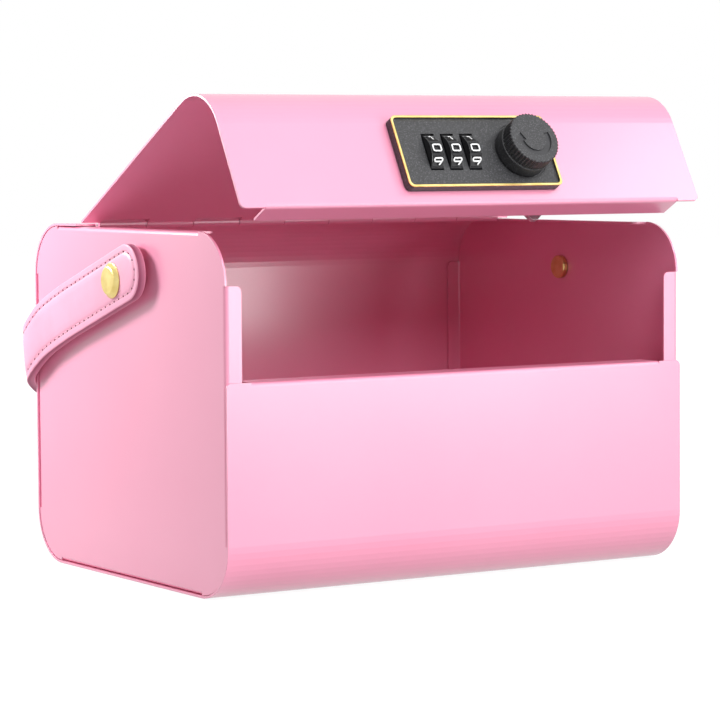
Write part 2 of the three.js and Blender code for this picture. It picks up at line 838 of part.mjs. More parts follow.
function resetScrew() {
  const low = housingBack + running;
  const body = rod(resetRadius, low, low + resetLength, 20);
  const half = driverSlot / 2;
  const slot = block([-resetRadius, -half, low - 1], [resetRadius, half, low + driverSlot]);
  return moved(cut(body, slot), resetX, resetY, 0);
}

// The locking slide: a bar under the dials with a tooth in each gap, driven by an arm at the spindle
function lockingSlide() {
  const low = -cavityHalf + running;
  const back = driveLow + running;
  const front = back + slideWidth;
  const armTo = driveTo - slideTravel;
  const bar = block([cavityFrom + 1.2, low, back], [armTo, slideTop, front]);
  const arm = block([armTo - 2, low, back], [armTo, driveHigh - 0.4, back + 3]);
  const teeth = [];
  for (let i = 0; i < dialCount; i += 1) {
    const x = dialPlace(i) + dialWidth / 2 + 1.2;
    const tip = -collarRadius - running;
    teeth.push(block([x, slideTop - 0.5, back + 2], [x + 1.2, tip, back + 5]));
  }
  return joined(bar, arm, ...teeth);
}

// The detent spring: a bar at the top of the housing with a curved finger behind each dial
function detentSpring() {
  const inner = dialRadius + running + 0.1;
  const outer = inner + springThickness;
  const finger = new THREE.Shape();
  const start = THREE.MathUtils.degToRad(-48);
  const end = THREE.MathUtils.degToRad(-1);
  finger.absarc(0, dialCentre, outer, start, end, false);
  finger.absarc(0, dialCentre, inner, end, start, true);
  finger.closePath();
  const half = dialWidth / 2;
  const bar = block(
    [dialPlace(0) - half, inner + 0.1, dialCentre - 2.6],
    [dialPlace(dialCount - 1) + half, cavityHalf - running, dialCentre - 0.2],
  );
  const fingers = [];
  for (let i = 0; i < dialCount; i += 1) {
    fingers.push(alongX(finger, dialPlace(i) - half / 2, dialPlace(i) + half / 2));
  }
  return joined(bar, ...fingers);
}

// The knob: a smooth skirt at the plate and a toothed grip above it
function lockKnob() {
  const low = knobSeat + running;
  const gripLow = low + skirtHeight;
  const profile = [
    [0, low],
    [skirtRadius - 0.3, low],
    [skirtRadius, low + 0.3],
    [skirtRadius, gripLow - 0.2],
    [skirtRadius - 0.2, gripLow],
    [0, gripLow],
  ];
  const shape = new THREE.Shape();
  const points = [];
  for (let i = 0; i < knobTeeth; i += 1) {
    const step = (Math.PI * 2) / knobTeeth;
    for (const [radius, share] of [[knobRadius, 0], [knobRadius - toothDepth, 0.5]]) {
      const angle = (i + share) * step;
      points.push(new THREE.Vector2(radius * Math.cos(angle), radius * Math.sin(angle)));
    }
  }
  shape.setFromPoints(points);
  const grip = alongZ(shape, gripLow - 1, knobFront, 0.3);
  const bore = rod(spindleRadius + running, low - 1, spindleTop + running);
  return cut(joined(turned(profile, 36), grip), bore);
}

const spindleTop = knobFront - 6;

function knobSpindle() {
  const shoulder = housingBack + 0.1;
  const square = spindleSquare / 2;
  const camBack = camFront - camThickness;
  const squareEnd = camBack - 0.2;
  const shaft = rod(spindleRadius, shoulder, spindleTop);
  const drive = block([-square, -square, squareEnd], [square, square, shoulder + 1]);
  const thread = rod(threadRadius, squareEnd - camNutHeight - 1.5, squareEnd + 1, 20);
  return joined(shaft, drive, thread);
}

function lockCam() {
  const half = camWidth / 2;
  const shape = new THREE.Shape();
  const tip = 3;
  const root = Math.asin(half / camRoot);
  shape.absarc(0, 0, camRoot, root - Math.PI / 2, Math.PI * 1.5 - root, false);
  shape.absarc(-half + tip, -camLength + tip, tip, Math.PI, Math.PI * 1.5, false);
  shape.absarc(half - tip, -camLength + tip, tip, Math.PI * 1.5, Math.PI * 2, false);
  shape.closePath();
  const plate = alongZ(shape, camFront - camThickness, camFront);
  const square = spindleSquare / 2 + running;
  const hole = block(
    [-square, -square, camFront - camThickness - 1],
    [square, square, camFront + 1],
  );
  return cut(plate, hole);
}

function camNut() {
  const top = camFront - camThickness - 0.2 - running;
  const nut = rod(camNutRadius, top - camNutHeight, top, 6);
  return cut(nut, rod(threadRadius + running, top - camNutHeight - 1, top + 1, 20));
}

const root = new THREE.Group();
piece("body_shell", bodyShell(), paint, root);
const panel = sidePanel();
piece("left_side_panel", panel, paint, root);
piece("right_side_panel", panel, paint, root).rotation.z = Math.PI;
piece("hinge_body_leaf", hingeLeaf(1), paint, root);
piece("hinge_pin", hingePin(), steel, root);
for (const [name, side] of [["left", -1], ["right", 1]]) {
  piece(name + "_pivot_screw", pivotScrew(side), brass, root);
  piece(name + "_pivot_nut", pivotNut(side), brass, root);
  piece(name + "_pivot_washer", pivotWasher(side), nylon, root);
}
piece("handle_strap", strapBand(), leather, root);

// The lid turns about the hinge pin. Its pieces are drawn where they lie with the lid shut.
const hinge = new THREE.Group();
hinge.position.set(0, hingeY, hingeZ);
hinge.rotation.x = -lidOpening;
root.add(hinge);
const lid = new THREE.Group();
lid.position.set(0, -hingeY, -hingeZ);
hinge.add(lid);
piece("lid_shell", lidShell(), paint, lid);
piece("hinge_lid_leaf", hingeLeaf(-1), paint, lid);

const lock = new THREE.Group();
lock.position.set(lockOffset, -halfDepth, lockZ);
lock.rotation.x = Math.PI / 2;
lid.add(lock);
piece("lock_plate", lockPlate(), blackPlastic, lock);
piece("lock_trim", lockTrim(), brass, lock);
piece("lock_housing", lockHousing(), blackPlastic, lock);
piece("dial_axle", dialAxle(), steel, lock);
for (let i = 0; i < dialCount; i += 1) {
  piece("dial_wheel_" + (i + 1), dialWheel(), blackGloss, lock).position.x = dialPlace(i);
  piece("dial_sleeve_" + (i + 1), dialSleeve(), brass, lock).position.x = dialPlace(i);
}
piece("detent_spring", detentSpring(), steel, lock);
piece("locking_slide", lockingSlide(), steel, lock);
piece("reset_screw", resetScrew(), steel, lock);
screwPlaces().forEach((place, i) => piece("lock_screw_" + (i + 1), lockScrew(place), steel, lock));

const turning = new THREE.Group();
turning.position.x = knobOffset;
turning.rotation.z = camAngle;
lock.add(turning);
piece("lock_knob", lockKnob(), blackPlastic, turning);
piece("knob_spindle", knobSpindle(), steel, turning);
piece("lock_cam", lockCam(), steel, turning);
piece("cam_nut", camNut(), steel, turning);

export default root;
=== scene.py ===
import json
import math

import bpy
import numpy as np
from mathutils import Matrix, Vector

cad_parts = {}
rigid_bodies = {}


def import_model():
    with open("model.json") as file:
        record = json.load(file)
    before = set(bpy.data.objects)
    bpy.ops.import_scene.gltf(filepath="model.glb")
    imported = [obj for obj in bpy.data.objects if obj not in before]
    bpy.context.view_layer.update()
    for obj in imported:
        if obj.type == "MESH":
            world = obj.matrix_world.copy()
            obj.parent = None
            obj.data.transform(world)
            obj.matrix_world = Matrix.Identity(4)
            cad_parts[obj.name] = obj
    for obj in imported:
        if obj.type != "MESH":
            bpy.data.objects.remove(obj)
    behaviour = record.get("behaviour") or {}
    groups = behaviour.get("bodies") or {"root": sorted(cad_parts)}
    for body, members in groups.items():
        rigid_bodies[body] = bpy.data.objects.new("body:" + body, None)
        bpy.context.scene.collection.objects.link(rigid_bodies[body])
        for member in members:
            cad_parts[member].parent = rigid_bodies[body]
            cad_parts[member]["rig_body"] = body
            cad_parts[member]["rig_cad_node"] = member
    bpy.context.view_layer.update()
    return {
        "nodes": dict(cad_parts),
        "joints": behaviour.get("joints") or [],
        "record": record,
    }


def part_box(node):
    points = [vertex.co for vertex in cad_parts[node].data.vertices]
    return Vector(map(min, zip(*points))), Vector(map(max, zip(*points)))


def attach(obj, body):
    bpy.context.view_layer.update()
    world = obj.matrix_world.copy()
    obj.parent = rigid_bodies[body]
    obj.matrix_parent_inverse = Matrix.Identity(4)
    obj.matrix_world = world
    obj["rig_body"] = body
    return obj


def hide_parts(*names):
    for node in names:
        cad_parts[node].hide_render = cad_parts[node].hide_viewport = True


bl_info = {
    "name": "Medication Lock Box",
    "version": (1, 0, 0),
    "blender": (4, 5, 0),
    "location": "View3D > Sidebar > Lock Box",
    "description": "Paint, leather strap, figured dials and carved knob of a steel lock box",
    "category": "Object",
}

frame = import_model()

JOINTS = {joint["name"]: joint for joint in frame["joints"]}
SLOTS = {part["node"]: part["material_slot"] for part in frame["record"]["subparts"]}
DIAL_COUNT = 3
FIGURES = 10
LAYER = "layer"
MM = 0.001
LEVEL = 1e-6
MIX_FIRST, MIX_SECOND, MIX_RESULT = 6, 7, 2


# Settings


class ShellSettings(bpy.types.PropertyGroup):
    """The painted sheet metal."""

    colour: bpy.props.FloatVectorProperty(
        name="Paint Colour", description="Colour of the satin paint",
        default=(0.92, 0.33, 0.495), min=0, max=1, size=3, subtype="COLOR",
    )
    shade: bpy.props.FloatVectorProperty(
        name="Paint Shade", description="Slightly deeper colour in the paint's drifts",
        default=(0.905, 0.31, 0.475), min=0, max=1, size=3, subtype="COLOR",
    )
    roughness: bpy.props.FloatProperty(
        name="Roughness", description="Roughness of the paint",
        default=0.34, min=0, max=1, subtype="FACTOR",
    )
    edge_radius: bpy.props.FloatProperty(
        name="Edge Radius", description="Radius that the paint gives the sheet's edges",
        default=0.35 * MM, unit="LENGTH", subtype="DISTANCE",
    )


class StrapSettings(bpy.types.PropertyGroup):
    """The leather strap and its stitching."""

    width: bpy.props.FloatProperty(
        name="Width", description="Width of the strap",
        default=25.4 * MM, unit="LENGTH", subtype="DISTANCE",
    )
    thickness: bpy.props.FloatProperty(
        name="Thickness", description="Thickness of the strap",
        default=4.2 * MM, unit="LENGTH", subtype="DISTANCE",
    )
    edge: bpy.props.FloatProperty(
        name="Edge", description="Rounding of the strap's edges",
        default=0.6 * MM, unit="LENGTH", subtype="DISTANCE",
    )
    tip: bpy.props.FloatProperty(
        name="Tip", description="Length of the strap beyond its pivot",
        default=25 * MM, unit="LENGTH", subtype="DISTANCE",
    )
    slope: bpy.props.FloatProperty(
        name="Slope", description="Fall of the side runs",
        default=math.radians(17.5), unit="ROTATION", subtype="ANGLE",
    )
    tilt: bpy.props.FloatProperty(
        name="Tilt", description="Lean of the back run",
        default=math.radians(8), unit="ROTATION", subtype="ANGLE",
    )
    draw_in: bpy.props.FloatProperty(
        name="Draw In", description="How far the side runs close in on the box",
        default=0.5 * MM, unit="LENGTH", subtype="DISTANCE",
    )
    fall: bpy.props.FloatProperty(
        name="Fall", description="Height of the pivots over the back run",
        default=45.8 * MM, unit="LENGTH", subtype="DISTANCE",
    )
    bend: bpy.props.FloatProperty(
        name="Bend", description="Radius of the bend round each rear corner",
        default=9 * MM, unit="LENGTH", subtype="DISTANCE",
    )
    bend_fall: bpy.props.FloatProperty(
        name="Bend Fall", description="Height that the strap still loses in each bend",
        default=11 * MM, unit="LENGTH", subtype="DISTANCE",
    )
    clearance: bpy.props.FloatProperty(
        name="Clearance", description="Gap between the strap and the corner it rests on",
        default=0.3 * MM, unit="LENGTH", subtype="DISTANCE",
    )
    stitch_inset: bpy.props.FloatProperty(
        name="Stitch Inset", description="Distance of the stitches from the strap's edge",
        default=3.3 * MM, unit="LENGTH", subtype="DISTANCE",
    )
    stitch_pitch: bpy.props.FloatProperty(
        name="Stitch Pitch", description="Length of one stitch with its hole",
        default=4.6 * MM, unit="LENGTH", subtype="DISTANCE",
    )
    colour: bpy.props.FloatVectorProperty(
        name="Leather Colour", description="Colour of the leather",
        default=(0.93, 0.41, 0.57), min=0, max=1, size=3, subtype="COLOR",
    )
    # Edge paint, set darker than its own colour to paint in the shade on the strap's side.
    edge_paint_and_shade: bpy.props.FloatVectorProperty(
        name="Edge Colour", description="Colour of the strap's painted edge",
        default=(0.36, 0.09, 0.17), min=0, max=1, size=3, subtype="COLOR",
    )
    thread: bpy.props.FloatVectorProperty(
        name="Thread Colour", description="Colour of the thread",
        default=(0.94, 0.5, 0.63), min=0, max=1, size=3, subtype="COLOR",
    )


class LockSettings(bpy.types.PropertyGroup):
    """The combination lock."""

    figure_width: bpy.props.FloatProperty(
        name="Figure Width", description="Width of a figure on the dials",
        default=4.7 * MM, unit="LENGTH", subtype="DISTANCE",
    )
    figure_height: bpy.props.FloatProperty(
        name="Figure Height", description="Height of a figure on the dials",
        default=3.8 * MM, unit="LENGTH", subtype="DISTANCE",
    )
    figure_stroke: bpy.props.FloatProperty(
        name="Figure Stroke", description="Width of the figures' strokes",
        default=0.7 * MM, unit="LENGTH", subtype="DISTANCE",
    )
    figure_shift: bpy.props.FloatProperty(
        name="Figure Shift", description="How far the figures stand off the middle, beside the dial's rim",
        default=0.25 * MM, unit="LENGTH", subtype="DISTANCE",
    )
    arrow_radius: bpy.props.FloatProperty(
        name="Arrow Radius", description="Radius of the curved arrow in the knob's face",
        default=7.3 * MM, unit="LENGTH", subtype="DISTANCE",
    )
    arrow_width: bpy.props.FloatProperty(
        name="Arrow Width", description="Width of the curved arrow",
        default=2.5 * MM, unit="LENGTH", subtype="DISTANCE",
    )
    arrow_depth: bpy.props.FloatProperty(
        name="Arrow Depth", description="Depth of the curved arrow",
        default=0.6 * MM, unit="LENGTH", subtype="DISTANCE",
    )
    black: bpy.props.FloatVectorProperty(
        name="Black", description="Colour of the lock's grained plastic",
        default=(0.019, 0.019, 0.021), min=0, max=1, size=3, subtype="COLOR",
    )


class StageSettings(bpy.types.PropertyGroup):
    """Camera and lamps."""

    azimuth: bpy.props.FloatProperty(
        name="Azimuth", description="Camera's place round the box",
        default=math.radians(-32.232), unit="ROTATION", subtype="ANGLE",
    )
    elevation: bpy.props.FloatProperty(
        name="Elevation", description="Camera's height over the horizon",
        default=math.radians(3.771), unit="ROTATION", subtype="ANGLE",
    )
    roll: bpy.props.FloatProperty(
        name="Roll", description="Camera's turn about its own axis",
        default=math.radians(-0.376), unit="ROTATION", subtype="ANGLE",
    )
    distance: bpy.props.FloatProperty(
        name="Distance", description="Camera's distance from its target",
        default=1395.534 * MM, unit="LENGTH", subtype="DISTANCE",
    )
    target: bpy.props.FloatVectorProperty(
        name="Target", description="Point that the camera looks at",
        default=(17.725 * MM, 0, 96.895 * MM), size=3, unit="LENGTH", subtype="XYZ",
    )
    focal_length: bpy.props.FloatProperty(
        name="Focal Length", description="Camera's focal length in millimetres",
        default=148.249,
    )
    shift: bpy.props.FloatVectorProperty(
        name="Shift", description="Offset of the frame",
        default=(-0.03741, -0.01184), size=2,
    )
    ambient: bpy.props.FloatProperty(
        name="Ambient", description="Brightness of the light from all round",
        default=0.1, min=0,
    )
    front_power: bpy.props.FloatProperty(
        name="Front Lamp", description="Power of the broad lamp high in front",
        default=15.8, unit="POWER",
    )
    low_power: bpy.props.FloatProperty(
        name="Low Lamp", description="Power of the lamp low in front",
        default=4.4, unit="POWER",
    )
    top_power: bpy.props.FloatProperty(
        name="Top Lamp", description="Power of the lamp overhead",
        default=2, unit="POWER",
    )
    upper_power: bpy.props.FloatProperty(
        name="Upper Lamp", description="Power of the small lamp at the upper right",
        default=0.75, unit="POWER",
    )
    rear_power: bpy.props.FloatProperty(
        name="Rear Lamp", description="Power of the small lamp at the rear left",
        default=1.75, unit="POWER",
    )


# Materials


def new_material(name):
    material = bpy.data.materials.new(name)
    material.use_nodes = True
    return material, material.node_tree, material.node_tree.nodes["Principled BSDF"]


def add_node(tree, kind, **sockets):
    node = tree.nodes.new(kind)
    for name, value in sockets.items():
        node.inputs[name.replace("_", " ")].default_value = value
    return node


def set_sockets(shader, **sockets):
    for name, value in sockets.items():
        shader.inputs[name.replace("_", " ")].default_value = value


def object_noise(tree, scale, detail=2.0, roughness=0.5, stretch=None):
    """Noise on the object's own coordinates, stretched along an axis where one is given."""
    place = tree.nodes.new("ShaderNodeTexCoord")
    noise = add_node(tree, "ShaderNodeTexNoise", Scale=scale, Detail=detail, Roughness=roughness)
    source = place.outputs["Object"]
    if stretch:
        mapping = tree.nodes.new("ShaderNodeMapping")
        mapping.inputs["Scale"].default_value = stretch
        tree.links.new(source, mapping.inputs["Vector"])
        source = mapping.outputs["Vector"]
    tree.links.new(source, noise.inputs["Vector"])
    return noise.outputs["Fac"]


def ramp(tree, source, stops):
    node = tree.nodes.new("ShaderNodeValToRGB")
    while len(node.color_ramp.elements) < len(stops):
        node.color_ramp.elements.new(0.5)
    for element, (position, colour) in zip(node.color_ramp.elements, stops):
        element.position = position
        element.color = (*colour, 1)
    tree.links.new(source, node.inputs["Fac"])
    return node.outputs["Color"]


def colour_drift(tree, shader, source, stops):
    """Lets a source drift the shader's colour between stops."""
    tree.links.new(ramp(tree, source, stops), shader.inputs["Base Color"])


def mixed_colours(tree, first, second, factor=None, blend="MIX"):
    """Mixes two colours by a factor, or in full where none is given."""
    mix = tree.nodes.new("ShaderNodeMix")
    mix.data_type = "RGBA"
    mix.blend_type = blend
    if factor:
        tree.links.new(factor, mix.inputs["Factor"])
    else:
        mix.inputs["Factor"].default_value = 1
    tree.links.new(first, mix.inputs[MIX_FIRST])
    tree.links.new(second, mix.inputs[MIX_SECOND])
    return mix.outputs[MIX_RESULT]


def bump(tree, source, strength, distance, normal=None):
    node = add_node(tree, "ShaderNodeBump", Strength=strength, Distance=distance)
    tree.links.new(source, node.inputs["Height"])
    if normal:
        tree.links.new(normal, node.inputs["Normal"])
    return node.outputs["Normal"]


def eased_edges(tree, radius):
    node = tree.nodes.new("ShaderNodeBevel")
    node.samples = 4
    node.inputs["Radius"].default_value = radius
    return node.outputs["Normal"]


def edge_share(tree, radius):
    """How near a point is to an edge: 0 on a flat, more where the eased normal leaves the true one."""
    eased = eased_edges(tree, radius)
    place = tree.nodes.new("ShaderNodeNewGeometry")
    dot = tree.nodes.new("ShaderNodeVectorMath")
    dot.operation = "DOT_PRODUCT"
    tree.links.new(eased, dot.inputs[0])
    tree.links.new(place.outputs["True Normal"], dot.inputs[1])
    rest = add_node(tree, "ShaderNodeMapRange", From_Min=1.0, From_Max=0.0, To_Min=0.0, To_Max=1.0)
    tree.links.new(dot.outputs["Value"], rest.inputs["Value"])
    return rest.outputs["Result"]


def roughness_drift(tree, shader, source, low, high):
    node = add_node(tree, "ShaderNodeMapRange", To_Min=low, To_Max=high)
    tree.links.new(source, node.inputs["Value"])
    tree.links.new(node.outputs["Result"], shader.inputs["Roughness"])


def shell_paint(settings):
    """Satin paint with a faint orange peel, rounded over the sheet's edges."""
    material, tree, shader = new_material("shell_paint")
    set_sockets(shader, Specular_IOR_Level=0.7, Coat_Weight=0.6, Coat_Roughness=0.22, Coat_IOR=1.8)
    drift = object_noise(tree, 9, 3)
    colour_drift(tree, shader, drift, [(0.35, settings.shade), (0.65, settings.colour)])
    low, high = settings.roughness - 0.03, settings.roughness + 0.03
    roughness_drift(tree, shader, object_noise(tree, 60, 4), low, high)
    edges = eased_edges(tree, settings.edge_radius)
    peel = bump(tree, object_noise(tree, 620, 2), 0.06, 0.12 * MM, edges)
    tree.links.new(peel, shader.inputs["Normal"])
    return material


def strap_leather(settings):
    """Smooth pink leather with fine pores and soft creases, and a side whose edge paint is darkened
    towards the back as painted shade.
    """
    material, tree, shader = new_material("strap_leather")
    set_sockets(shader, Coat_Weight=0.12, Coat_Roughness=0.3)
    deep = tuple(channel * 0.9 for channel in settings.colour)
    drift = object_noise(tree, 45, 5, 0.6)
    face = ramp(tree, drift, [(0.3, deep), (0.6, settings.colour)])
    side = tree.nodes.new("ShaderNodeAttribute")
    side.attribute_name = LAYER
    # The side runs from the dark edge colour at the back to a paler one at the face: edge paint with
    # painted shade towards the back.
    pale = tuple((edge + whole) / 2 for edge, whole in zip(settings.edge_paint_and_shade, settings.colour))
    layers = ramp(tree, side.outputs["Fac"], [(0.3, settings.edge_paint_and_shade), (0.75, pale)])
    off, on = (0, 0, 0), (1, 1, 1)
    is_side = ramp(tree, side.outputs["Fac"], [(0.08, off), (0.12, on), (0.8, on), (0.86, off)])
    tree.links.new(mixed_colours(tree, face, layers, is_side), shader.inputs["Base Color"])
    roughness_drift(tree, shader, object_noise(tree, 300, 3), 0.4, 0.55)
    place = tree.nodes.new("ShaderNodeTexCoord")
    pores = add_node(tree, "ShaderNodeTexVoronoi", Scale=900)
    tree.links.new(place.outputs["Object"], pores.inputs["Vector"])
    grain = bump(tree, pores.outputs["Distance"], 0.16, 0.12 * MM)
    creases = bump(tree, object_noise(tree, 160, 4, 0.6), 0.2, 0.2 * MM, grain)
    tree.links.new(creases, shader.inputs["Normal"])
    return material


def thread(name, colour, roughness):
    """Waxed thread, or the painted shade in the holes between the stitches."""
    material, tree, shader = new_material(name)
    deep = tuple(channel * 0.75 for channel in colour)
    twist = object_noise(tree, 2200, 2)
    colour_drift(tree, shader, twist, [(0.35, deep), (0.65, tuple(colour))])
    set_sockets(shader, Roughness=roughness)
    tree.links.new(bump(tree, twist, 0.3, 0.08 * MM), shader.inputs["Normal"])
    return material


def polished_brass():
    """Brass, lightly brushed, with a warm drift in its colour and painted shade darkening its edges."""
    material, tree, shader = new_material("polished_brass")
    set_sockets(shader, Metallic=1.0)
    drift = object_noise(tree, 180, 3)
    even = ramp(tree, drift, [(0.3, (0.66, 0.5, 0.17)), (0.7, (0.8, 0.66, 0.28))])
    # Painted shade: the colour turns darker brown where the eased normal leaves the true one at edges.
    edges = edge_share(tree, 0.5 * MM)
    painted_edge_shade = ramp(tree, edges, [(0.02, (1, 1, 1)), (0.3, (0.62, 0.45, 0.28))])
    tree.links.new(mixed_colours(tree, even, painted_edge_shade, blend="MULTIPLY"), shader.inputs["Base Color"])
    brushed = object_noise(tree, 500, 3, 0.6, (6, 1, 1))
    roughness_drift(tree, shader, brushed, 0.28, 0.42)
    normal = bump(tree, brushed, 0.05, 0.05 * MM, eased_edges(tree, 0.2 * MM))
    tree.links.new(normal, shader.inputs["Normal"])
    return material


def plated_steel():
    """Zinc-plated steel with faint drawn lines."""
    material, tree, shader = new_material("plated_steel")
    set_sockets(shader, Metallic=1.0)
    drift = object_noise(tree, 140, 4)
    colour_drift(tree, shader, drift, [(0.3, (0.5, 0.51, 0.53)), (0.7, (0.66, 0.67, 0.69))])
    lines = object_noise(tree, 700, 3, 0.6, (1, 8, 8))
    roughness_drift(tree, shader, lines, 0.24, 0.42)
    normal = bump(tree, lines, 0.08, 0.05 * MM, eased_edges(tree, 0.2 * MM))
    tree.links.new(normal, shader.inputs["Normal"])
    return material


def washer_nylon():
    """Off-white nylon."""
    material, tree, shader = new_material("washer_nylon")
    cloud = object_noise(tree, 200, 3)
    colour_drift(tree, shader, cloud, [(0.3, (0.78, 0.76, 0.72)), (0.7, (0.86, 0.84, 0.8))])
    set_sockets(shader, Roughness=0.5, Subsurface_Weight=0.1)
    tree.links.new(bump(tree, cloud, 0.1, 0.05 * MM), shader.inputs["Normal"])
    return material


def grained_black(settings):
    """Black moulded plastic with a fine sparkling grain."""
    material, tree, shader = new_material("grained_black")
    specks = object_noise(tree, 2100, 2, 0.6)
    pale = tuple(min(1, channel * 6) for channel in settings.black)
    colour_drift(tree, shader, specks, [(0.54, settings.black), (0.7, pale)])
    roughness_drift(tree, shader, specks, 0.36, 0.52)
    grain = bump(tree, object_noise(tree, 2400, 2, 0.5), 0.5, 0.12 * MM, eased_edges(tree, 0.25 * MM))
    tree.links.new(grain, shader.inputs["Normal"])
    return material


def recess_black():
    """The smooth floor of the arrow in the knob."""
    material, tree, shader = new_material("recess_black")
    smudge = object_noise(tree, 600, 2)
    colour_drift(tree, shader, smudge, [(0.4, (0.016, 0.016, 0.019)), (0.8, (0.024, 0.024, 0.028))])
    roughness_drift(tree, shader, smudge, 0.3, 0.4)
    tree.links.new(eased_edges(tree, 0.2 * MM), shader.inputs["Normal"])
    return material


def dial_black():
    """Gloss black plastic of the dials."""
    material, tree, shader = new_material("dial_black")
    smudge = object_noise(tree, 350, 3)
    colour_drift(tree, shader, smudge, [(0.4, (0.008, 0.008, 0.01)), (0.8, (0.016, 0.016, 0.019))])
    roughness_drift(tree, shader, smudge, 0.12, 0.24)
    tree.links.new(eased_edges(tree, 0.15 * MM), shader.inputs["Normal"])
    return material


def figure_white():
    """White paint printed on the dials."""
    material, tree, shader = new_material("figure_white")
    wear = object_noise(tree, 1800, 3)
    colour_drift(tree, shader, wear, [(0.3, (0.75, 0.76, 0.77)), (0.6, (0.92, 0.92, 0.92))])
    set_sockets(shader, Roughness=0.35)
    tree.links.new(bump(tree, wear, 0.1, 0.03 * MM), shader.inputs["Normal"])
    return material


def dress(obj, material):
    obj.data.materials.clear()
    obj.data.materials.append(material)


def dress_slot(slot, material):
    """Gives a material to every CAD node of one material slot."""
    for name, obj in frame["nodes"].items():
        if SLOTS[name] == slot:
            dress(obj, material)


# Modelling helpers


def only(obj):
    bpy.ops.object.select_all(action="DESELECT")
    obj.select_set(True)
    bpy.context.view_layer.objects.active = obj


def fresh():
    bpy.ops.object.select_all(action="DESELECT")


def edit():
    bpy.ops.object.mode_set(mode="EDIT")


def leave_edit():
    bpy.ops.object.mode_set(mode="OBJECT")


def choose(obj, kind, test):
    """Selects the edges or polygons that pass a test, which is given each one's corner points."""
    edit()
    bpy.ops.mesh.select_mode(type="EDGE" if kind == "edges" else "FACE")
    bpy.ops.mesh.select_all(action="DESELECT")
    leave_edit()
    points = [vertex.co.copy() for vertex in obj.data.vertices]
    for item in getattr(obj.data, kind):
        item.select = test([points[corner] for corner in item.vertices])
    edit()


def is_upright(corners):
    return abs(corners[0].z - corners[1].z) > LEVEL


def is_level(corners):
    return abs(corners[0].z - corners[1].z) < LEVEL


def apply_place(obj):
    only(obj)
    bpy.ops.object.transform_apply(location=True, rotation=True, scale=True)


def placed_copies(pattern, places, name):
    """One mesh of copies of a pattern, each moved by its matrix."""
    points = np.array([vertex.co for vertex in pattern.data.vertices])
    faces = [tuple(face.vertices) for face in pattern.data.polygons]
    all_points, all_faces = [], []
    for index, place in enumerate(places):
        matrix = np.array(place)
        all_points.append(points @ matrix[:3, :3].T + matrix[:3, 3])
        start = index * len(points)
        all_faces.extend(tuple(start + corner for corner in face) for face in faces)
    mesh = bpy.data.meshes.new(name)
    mesh.from_pydata(np.concatenate(all_points).tolist(), [], all_faces)
    mesh.validate()
    obj = bpy.data.objects.new(name, mesh)
    bpy.context.scene.collection.objects.link(obj)
    return obj


def remove(obj):
    bpy.data.objects.remove(obj)


def subtract(obj, cutter):
    """Cuts one mesh out of another and deletes the cutter."""
    only(obj)
    modifier = obj.modifiers.new("cut", "BOOLEAN")
    modifier.operation = "DIFFERENCE"
    modifier.solver = "EXACT"
    modifier.object = cutter
    bpy.ops.object.modifier_apply(modifier="cut")
    remove(cutter)


def merged_copy(node, name):
    """A copy of a CAD node whose loose triangles are merged into one skin."""
    source = frame["nodes"][node]
    obj = source.copy()
    obj.data = source.data.copy()
    obj.name = name
    obj.parent = None
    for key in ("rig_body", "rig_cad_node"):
        if key in obj:
            del obj[key]
    bpy.context.scene.collection.objects.link(obj)
    only(obj)
    edit()
    bpy.ops.mesh.select_all(action="SELECT")
    bpy.ops.mesh.customdata_custom_splitnormals_clear()
    bpy.ops.mesh.remove_doubles(threshold=0.002 * MM)
    leave_edit()
    return obj


# Strap

TIP_SHARE = 0.96
TIP_STEPS, EDGE_STEPS = 12, 4
GROOVE_WIDTH, GROOVE_DEPTH = 0.55 * MM, 0.35 * MM
# Width and rise of each step from the groove to the crown
CROWN_STEPS = ((1.2 * MM, 0.3 * MM), (2.4 * MM, 0.15 * MM))
BOLT_HOLE = 3.3 * MM
STITCH_GAP, STITCH_SUNK = 0.35 * MM, 0.22 * MM
STITCH_THICKNESS = (0.36 * MM, 0.3 * MM)
PRICK_SIZE, PRICK_SUNK = (0.55 * MM, 0.5 * MM, 0.25 * MM), 0.2 * MM
# Dark colour of the stitch holes: painted shade inside the holes.
PRICK_SHADE_COLOUR = (0.16, 0.02, 0.05)


